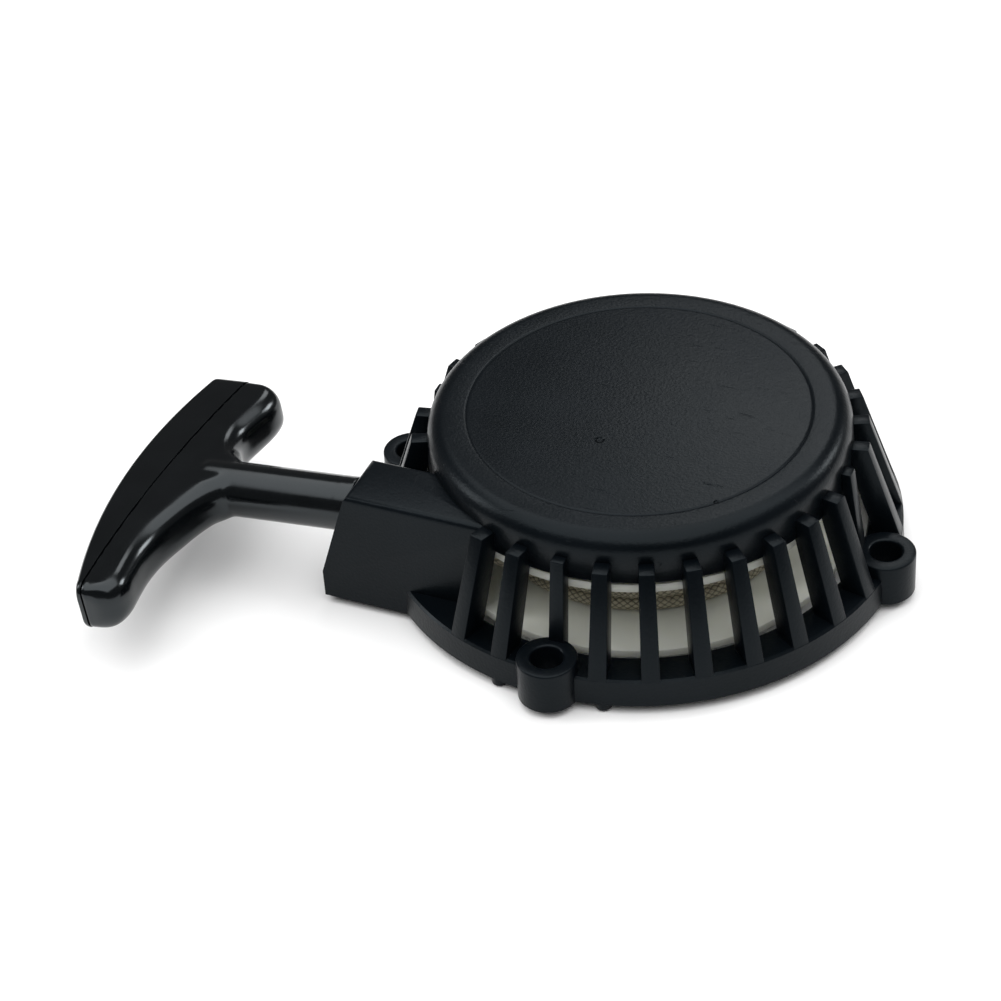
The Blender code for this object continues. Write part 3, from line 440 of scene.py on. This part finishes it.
HUB_R, HUB_BORE, CORE_R, RECESS_R = 0.0102, 0.0076, 0.0306, 0.0270
LOW_R, HIGH_R, POCKET_IN, POCKET_OUT, HUB_BOTTOM, HUB_TOP = 0.0465, 0.0449, 0.0130, 0.0280, 0.0060, 0.0322
LOW, LOW_TOP, HIGH, HIGH_TOP, WEB, WEB_TOP = 0.0034, 0.0054, 0.0202, 0.0224, 0.0145, 0.0172
PAWL_PIVOT, PIN_HOLE_R = 0.0142, 0.0018
wheel = spun([(RECESS_R, LOW), (LOW_R, LOW), (LOW_R, LOW_TOP), (CORE_R, LOW_TOP), (CORE_R, HIGH),
              (HIGH_R, HIGH), (HIGH_R, HIGH_TOP), (POCKET_OUT, HIGH_TOP), (POCKET_OUT, WEB_TOP),
              (POCKET_IN, WEB_TOP), (POCKET_IN, HIGH_TOP), (HUB_R, HIGH_TOP + 0.0012), (HUB_R, HUB_TOP),
              (HUB_BORE, HUB_TOP), (HUB_BORE, HUB_BOTTOM), (HUB_R, HUB_BOTTOM), (HUB_R, WEB),
              (RECESS_R, WEB)], 160, closed=True)
reel = piece("reel_moulding", soften(wheel, 0.0003), nylon, None)
pins = bmesh.new()
for side in (-1, 1):
    add_to(pins, spun([(0, 0.012), (PIN_HOLE_R, 0.012), (PIN_HOLE_R, 0.019), (0, 0.019)], 32),
           Matrix.Translation((PAWL_PIVOT * side, 0, 0)))
carved(reel, pins)
reel.data.shade_smooth()
reel.data.set_sharp_from_angle(angle=math.radians(35))
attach(reel, "reel")
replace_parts(reel, "reel")

# ---------------------------------------------------------------------------
# Cord: braided polyester rope of 3.5 mm, knotted into the reel, wound on it turn
# on turn, and led through the spout's eyelet into the handle's stem.
# ---------------------------------------------------------------------------
CORD_R, TURNS, COIL_R, BRAID_PITCH, STRANDS = 0.00172, 4, 0.03265, 0.0034, 4
rope, rope_shader = new_material("braided_polyester_cord", Roughness=0.85, IOR=1.5)
uv = add_node(rope, "ShaderNodeUVMap")
split = add_node(rope, "ShaderNodeSeparateXYZ", None, Vector=uv.outputs["UV"])
# the map runs in metres along the cord and 0 to 1 around it; strands cross every half pitch
along = add_node(rope, "ShaderNodeMath", {"operation": "MULTIPLY", 1: 2 * math.pi / BRAID_PITCH},
                 _0=split.outputs["X"])
around = add_node(rope, "ShaderNodeMath", {"operation": "MULTIPLY", 1: 2 * math.pi * STRANDS},
                  _0=split.outputs["Y"])
plus = add_node(rope, "ShaderNodeMath", {"operation": "ADD"}, _0=along.outputs[0], _1=around.outputs[0])
minus = add_node(rope, "ShaderNodeMath", {"operation": "SUBTRACT"}, _0=along.outputs[0], _1=around.outputs[0])
waves = [add_node(rope, "ShaderNodeMath", {"operation": "SINE"}, _0=source.outputs[0])
         for source in (plus, minus)]
strands = add_node(rope, "ShaderNodeMath", {"operation": "MULTIPLY"},
                   _0=waves[0].outputs[0], _1=waves[1].outputs[0])
height = add_node(rope, "ShaderNodeMath", {"operation": "ABSOLUTE"}, _0=strands.outputs[0])
# the braid's colour runs dark where the strands lie low between their crossings and light on their crowns:
# painted shade in the grooves
tone = add_node(rope, "ShaderNodeValToRGB", None, Fac=height.outputs[0])
tone.color_ramp.elements[0].color = linear("#8a8470")
tone.color_ramp.elements[1].position = 0.55
tone.color_ramp.elements[1].color = linear("#d8d1bb")
relief = add_node(rope, "ShaderNodeBump", {"Strength": 0.8, "Distance": 0.0003}, Height=height.outputs[0])
rope.node_tree.links.new(tone.outputs["Color"], rope_shader.inputs["Base Color"])
rope.node_tree.links.new(relief.outputs["Normal"], rope_shader.inputs["Normal"])


def cord_mesh(name, points, material, body):
    """A round cord along a route, made as a bevelled curve; its map is in metres along the cord."""
    curve = bpy.data.curves.new(name, "CURVE")
    curve.dimensions = "3D"
    curve.bevel_depth, curve.bevel_resolution, curve.use_fill_caps = CORD_R, 4, True
    spline = curve.splines.new("POLY")
    spline.points.add(len(points) - 1)
    for spot, point in zip(spline.points, points):
        spot.co = (*point, 1)
    holder = bpy.data.objects.new(name, curve)
    scene.collection.objects.link(holder)
    mesh = bpy.data.meshes.new_from_object(holder.evaluated_get(bpy.context.evaluated_depsgraph_get()))
    bpy.data.objects.remove(holder)
    length = sum((Vector(b) - Vector(a)).length for a, b in zip(points, points[1:]))
    # the curve's own map runs 0 to 1 along the route
    layer = mesh.uv_layers.active
    if layer:
        for item in layer.data:
            item.uv = (item.uv[0] * length, item.uv[1])
    mesh.materials.clear()
    mesh.materials.append(material)
    made = bpy.data.objects.new(name, mesh)
    scene.collection.objects.link(made)
    mesh.shade_smooth()
    if body:
        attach(made, body)
    return made


for turn in range(TURNS):
    height = LOW_TOP + CORD_R * (1 + 2 * turn) + 0.0001
    ring_points = [(COIL_R * math.cos(math.tau * i / 96), -COIL_R * math.sin(math.tau * i / 96), height)
                   for i in range(97)]
    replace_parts(cord_mesh(f"cord_turn_{turn + 1}", ring_points, rope, "reel"), "cord_coil")


def curved(route, spans):
    """Points of a smooth curve through a route."""
    points = [Vector(p) for p in route]
    ends = [2 * points[0] - points[1]] + points + [2 * points[-1] - points[-2]]
    made = []
    for a, b, c, d in zip(ends, ends[1:], ends[2:], ends[3:]):
        for i in range(spans):
            t = i / spans
            made.append(0.5 * (2 * b + (c - a) * t + (2 * a - 5 * b + 4 * c - d) * t ** 2
                               + (3 * b - a - 3 * c + d) * t ** 3))
    return made + [points[-1]]


# the free stretch leaves the third turn and climbs to the eyelet in the spout
lay = []
for degrees in (-70, -78, -86, -94, -100):
    angle, lay_r = math.radians(degrees), COIL_R + 0.0002
    lay.append((lay_r * math.cos(angle), lay_r * math.sin(angle), 0.0109 + 0.0002 * (-70 - degrees) / 5))
feed_route = lay + [(-0.0120, -0.0344, 0.0133), (-0.0200, -0.0354, 0.0154), (-0.0290, -0.0358, 0.0184),
                    (-0.0370, -0.0358, 0.0210), (-0.0440, -0.0358, 0.02255)]
feed = cord_mesh("cord_feed_rope", curved(feed_route, 8), rope, "housing")
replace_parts(feed, "cord_feed")

# Between guide and stem the cord is one piece that draws out to its full length when the handle
# is pulled; its map is laid out for the drawn state, so the braid is right when it can be seen.
GUIDE_IN, STEM_IN, KNOT_AT, PULL_TRAVEL = -0.0099, -0.0033, 0.0330, 0.75
drawn = [GUIDE_IN + (STEM_IN - GUIDE_IN) * i / 280 for i in range(281)]
inside = [STEM_IN + (KNOT_AT - STEM_IN) * i / 20 for i in range(1, 21)]
pull_rope = cord_mesh("cord_pull_rope", [PULL_POINT + PULL_OUT * d for d in drawn + inside], rope, None)
layer = pull_rope.data.uv_layers.active
for loop, item in zip(pull_rope.data.loops, layer.data):
    distance = (pull_rope.data.vertices[loop.vertex_index].co - PULL_POINT).dot(PULL_OUT)
    share = max(0, min(1, (distance - GUIDE_IN) / (STEM_IN - GUIDE_IN)))
    item.uv = (distance + PULL_TRAVEL * share * share * (3 - 2 * share), item.uv[1])
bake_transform(pull_rope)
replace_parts(pull_rope, "cord_run")

# the knots are the same cord pulled tight, so their braid is only a coarse twill
knotted, knotted_shader = new_material("knotted_polyester_cord", Roughness=0.85)
coords = add_node(knotted, "ShaderNodeTexCoord")
twill = add_node(knotted, "ShaderNodeTexWave", {"Scale": 420.0, "Distortion": 3.0},
                 Vector=coords.outputs["Object"])
# the twill's colour runs dark in the low bands of the wave and light on the raised ones: painted shade in the
# grooves
tone = add_node(knotted, "ShaderNodeValToRGB", None, Fac=twill.outputs["Fac"])
tone.color_ramp.elements[0].color = linear("#8a8470")
tone.color_ramp.elements[1].color = linear("#d8d1bb")
relief = add_node(knotted, "ShaderNodeBump", {"Strength": 0.6, "Distance": 0.0003},
                  Height=twill.outputs["Fac"])
knotted.node_tree.links.new(tone.outputs["Color"], knotted_shader.inputs["Base Color"])
knotted.node_tree.links.new(relief.outputs["Normal"], knotted_shader.inputs["Normal"])
for name in ("cord_knot_reel", "handle_knot"):
    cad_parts[name].material_slots[0].material = knotted

# ---------------------------------------------------------------------------
# Steel parts inside: bush, spring, screws, friction plate and pawls, hidden from
# above but in plain sight from the engine's side.
# ---------------------------------------------------------------------------


def steel_finish(name, light, dark, roughness):
    """Bare or plated steel with fine streaks of tone."""
    metal, shader = new_material(name, Metallic=1.0, Roughness=roughness)
    coords = add_node(metal, "ShaderNodeTexCoord")
    streaks = add_node(metal, "ShaderNodeTexNoise", {"Scale": 900.0, "Detail": 4.0},
                       Vector=coords.outputs["Object"])
    tone = add_node(metal, "ShaderNodeValToRGB", None, Fac=streaks.outputs["Fac"])
    tone.color_ramp.elements[0].color = linear(dark)
    tone.color_ramp.elements[1].color = linear(light)
    relief = add_node(metal, "ShaderNodeBump", {"Strength": 0.1, "Distance": 0.00003},
                      Height=streaks.outputs["Fac"])
    metal.node_tree.links.new(tone.outputs["Color"], shader.inputs["Base Color"])
    metal.node_tree.links.new(relief.outputs["Normal"], shader.inputs["Normal"])
    return metal


zinc = steel_finish("zinc_plated_steel", "#d3d5d2", "#b4b6b0", 0.28)
spring_steel = steel_finish("oiled_spring_steel", "#8b8f93", "#5d6166", 0.35)
for name in ("cord_guide", "post_bush", "spring_cover", "centre_washer", "centre_screw", "brake_spring",
             "friction_plate", "knot_washer"):
    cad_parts[name].material_slots[0].material = zinc
for name in ("recoil_spring", "spring_anchor_pin", "spring_cover_screw_1", "spring_cover_screw_2",
             "spring_cover_screw_3", "pawl_pin_1", "pawl_pin_2", "pawl_1", "pawl_2"):
    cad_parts[name].material_slots[0].material = spring_steel

# ---------------------------------------------------------------------------
# Handle: a T of glossy black plastic, a bar with rounded lobes on a round stem,
# closed by a separate arched cover that hides the cord's knot.
# ---------------------------------------------------------------------------
abs_gloss, gloss_shader = new_material("polished_abs_black", Roughness=0.2, IOR=1.53)
gloss_shader.inputs["Specular IOR Level"].default_value = 0.38
gloss_shader.inputs["Specular Tint"].default_value = (0.86, 0.95, 1.0, 1.0)
coords = add_node(abs_gloss, "ShaderNodeTexCoord")
cloud = add_node(abs_gloss, "ShaderNodeTexNoise", {"Scale": 120.0, "Detail": 4.0},
                 Vector=coords.outputs["Object"])
gloss = add_node(abs_gloss, "ShaderNodeMapRange", {"To Min": 0.12, "To Max": 0.22},
                 Value=cloud.outputs["Fac"])
tone = add_node(abs_gloss, "ShaderNodeValToRGB", None, Fac=cloud.outputs["Fac"])
tone.color_ramp.elements[0].color = linear("#030405")
tone.color_ramp.elements[1].color = linear("#07090b")
relief = add_node(abs_gloss, "ShaderNodeBump", {"Strength": 0.12, "Distance": 0.0002},
                  Height=cloud.outputs["Fac"])
abs_gloss.node_tree.links.new(tone.outputs["Color"], gloss_shader.inputs["Base Color"])
abs_gloss.node_tree.links.new(gloss.outputs["Result"], gloss_shader.inputs["Roughness"])
abs_gloss.node_tree.links.new(relief.outputs["Normal"], gloss_shader.inputs["Normal"])

BAR_HALF, BAR_OFFSET, BAR_THICK, JOINT_AT, JOINT_BOW = 0.0404, -0.0068, 0.0116, 0.0410, 0.0026
BAR_ROUND, ROOT_ROUND, END_ROUND = 0.0042, 0.0054, 0.0026
STEM_R, STEM_END, STEM_EDGE = 0.00615, -0.0437, 0.00055
BORE_R, POCKET_R, POCKET_BOTTOM = 0.0021, 0.0048, -0.0080
COVER_HEIGHT, COVER_PEAK, COVER_CURVE_R, COVER_ROUND, PROUD = 0.0120, 0.0118, 0.125, 0.0014, 0.00012
SKIN_SIZE, SKIN_ROUNDS = 0.00035, 10
# along the bar from its middle, and how deep its finger side lies there
FINGER_SIDE = ((-0.0404, 0.0030), (-0.0400, 0.0048), (-0.0389, 0.0066), (-0.0370, 0.0077), (-0.0340, 0.0080),
               (-0.0295, 0.0073), (-0.0240, 0.0066), (-0.0180, 0.0067), (-0.0120, 0.0078), (-0.0060, 0.0095),
               (-0.0010, 0.0118), (0.0025, 0.0148), (0.0068, 0.0170), (0.0110, 0.0146), (0.0138, 0.0110),
               (0.0172, 0.0086), (0.0215, 0.0078), (0.0262, 0.0084), (0.0310, 0.0094), (0.0345, 0.0096),
               (0.0372, 0.0090), (0.0391, 0.0074), (0.0400, 0.0056), (0.0404, 0.0036))
roll = math.radians(-0.6)
lift = Vector((PULL_OUT.z, 0, -PULL_OUT.x))
bar_axis = Vector((0, 1, 0)) * math.cos(roll) + lift * math.sin(roll)
handle_frame = Matrix((bar_axis, PULL_OUT, bar_axis.cross(PULL_OUT))).transposed().to_4x4()
handle_frame.translation = PULL_POINT + PULL_OUT * JOINT_AT
bar_frame = handle_frame @ Matrix.Translation((BAR_OFFSET, 0, 0))
stem_frame = handle_frame @ Matrix.Rotation(math.radians(-90), 4, "X")


def joint_height(x):
    """Height of the joint between bar and cover, which bulges outwards in the middle."""
    return JOINT_BOW * (1 - (x / BAR_HALF) ** 2)


def bar_ring(x, sign, base, depth, corner, half):
    """Section across the bar: flat at the joint, rounded on its far side."""
    past = max(abs(x) - (BAR_HALF - END_ROUND), 0)
    half += math.sqrt(END_ROUND ** 2 - past ** 2) - END_ROUND
    r = min(corner, (depth - sign * base) * 0.75)
    rounded = quarter(depth - r, half - r, r, 90, 0) + quarter(depth - r, r - half, r, 0, -90)
    return [(x, base, half)] + [(x, sign * y, z) for y, z in rounded] + [(x, base, -half)]


def lofted(sections):
    """A closed skin over sections that have equal numbers of points."""
    bm = bmesh.new()
    loops = []
    for section in sections:
        verts = [bm.verts.new(point) for point in section]
        loops.append([bm.edges.new((verts[k - 1], verts[k])) for k in range(len(verts))])
    for low, high in zip(loops, loops[1:]):
        bmesh.ops.bridge_loops(bm, edges=low + high)
    for end in (loops[0], loops[-1]):
        bmesh.ops.contextual_create(bm, geom=end)
    bmesh.ops.recalc_face_normals(bm, faces=bm.faces)
    return bm


# body: bar and stem run into each other in one moulded skin, sharp only along the joint
sections = []
for x, depth, _ in curved([(x, depth, 0) for x, depth in FINGER_SIDE], 4):
    x = max(-BAR_HALF, min(BAR_HALF, x))
    near_stem = min(1, max(0, (depth - 0.0085) / 0.004))
    corner_r = BAR_ROUND + (ROOT_ROUND - BAR_ROUND) * near_stem
    sections.append(bar_ring(x, -1, joint_height(x), depth, corner_r, BAR_THICK / 2))
body = moved(lofted(sections), Matrix.Translation((BAR_OFFSET, 0, 0)))
stem = spun([(0, STEM_END), (STEM_R - STEM_EDGE, STEM_END)]
            + quarter(STEM_R - STEM_EDGE, STEM_END + STEM_EDGE, STEM_EDGE, -90, 0, 4)
            + [(STEM_R, -0.0060), (STEM_R - 0.00105, -0.0040), (0, -0.0040)], 96)
add_to(body, stem, Matrix.Rotation(math.radians(-90), 4, "X"))
grip = piece("handle_grip", body, abs_gloss, None)
skin = grip.modifiers.new("skin", "REMESH")
skin.mode, skin.voxel_size = "VOXEL", SKIN_SIZE
bpy.context.view_layer.update()
mesh = bpy.data.meshes.new_from_object(grip.evaluated_get(bpy.context.evaluated_depsgraph_get()))
grip.modifiers.clear()
bm = bmesh.new()
bm.from_mesh(mesh)
soft = [v for v in bm.verts
        if v.co.y < joint_height(v.co.x - BAR_OFFSET) - 0.0010 and v.co.y > STEM_END + 0.0037]
for _ in range(SKIN_ROUNDS):
    bmesh.ops.smooth_vert(bm, verts=soft, factor=0.5, use_axis_x=True, use_axis_y=True, use_axis_z=True)
bmesh.ops.transform(bm, matrix=handle_frame, verts=bm.verts)
bm.to_mesh(mesh)
bm.free()
grip.data = mesh
carved(grip, moved(spun([(0, -0.046), (BORE_R, -0.046), (BORE_R, POCKET_BOTTOM), (POCKET_R, POCKET_BOTTOM),
                         (POCKET_R, 0.0060), (0, 0.0060)], 48), stem_frame))
grip.data.materials.clear()
grip.data.materials.append(abs_gloss)
grip.data.shade_smooth()
grip.data.set_sharp_from_angle(angle=math.radians(50))
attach(grip, "handle")
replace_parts(grip, "handle_body")

# cover: a long low arc, thick at its far end, a hair proud of the body along the joint
sections = []
for i in range(97):
    x = -BAR_HALF * math.cos(math.pi * i / 96)
    rise = COVER_HEIGHT - (x - COVER_PEAK) ** 2 / (2 * COVER_CURVE_R)
    section = bar_ring(x, 1, joint_height(x) + PROUD, rise, COVER_ROUND, BAR_THICK / 2 + PROUD)
    sections.append([(x * 1.002, y, z) for x, y, z in section])
lid = lofted(sections)
soften(lid, PROUD, 60, 1)
cover = piece("handle_lid", moved(lid, bar_frame), abs_gloss, "handle", 40)
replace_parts(cover, "handle_cover")
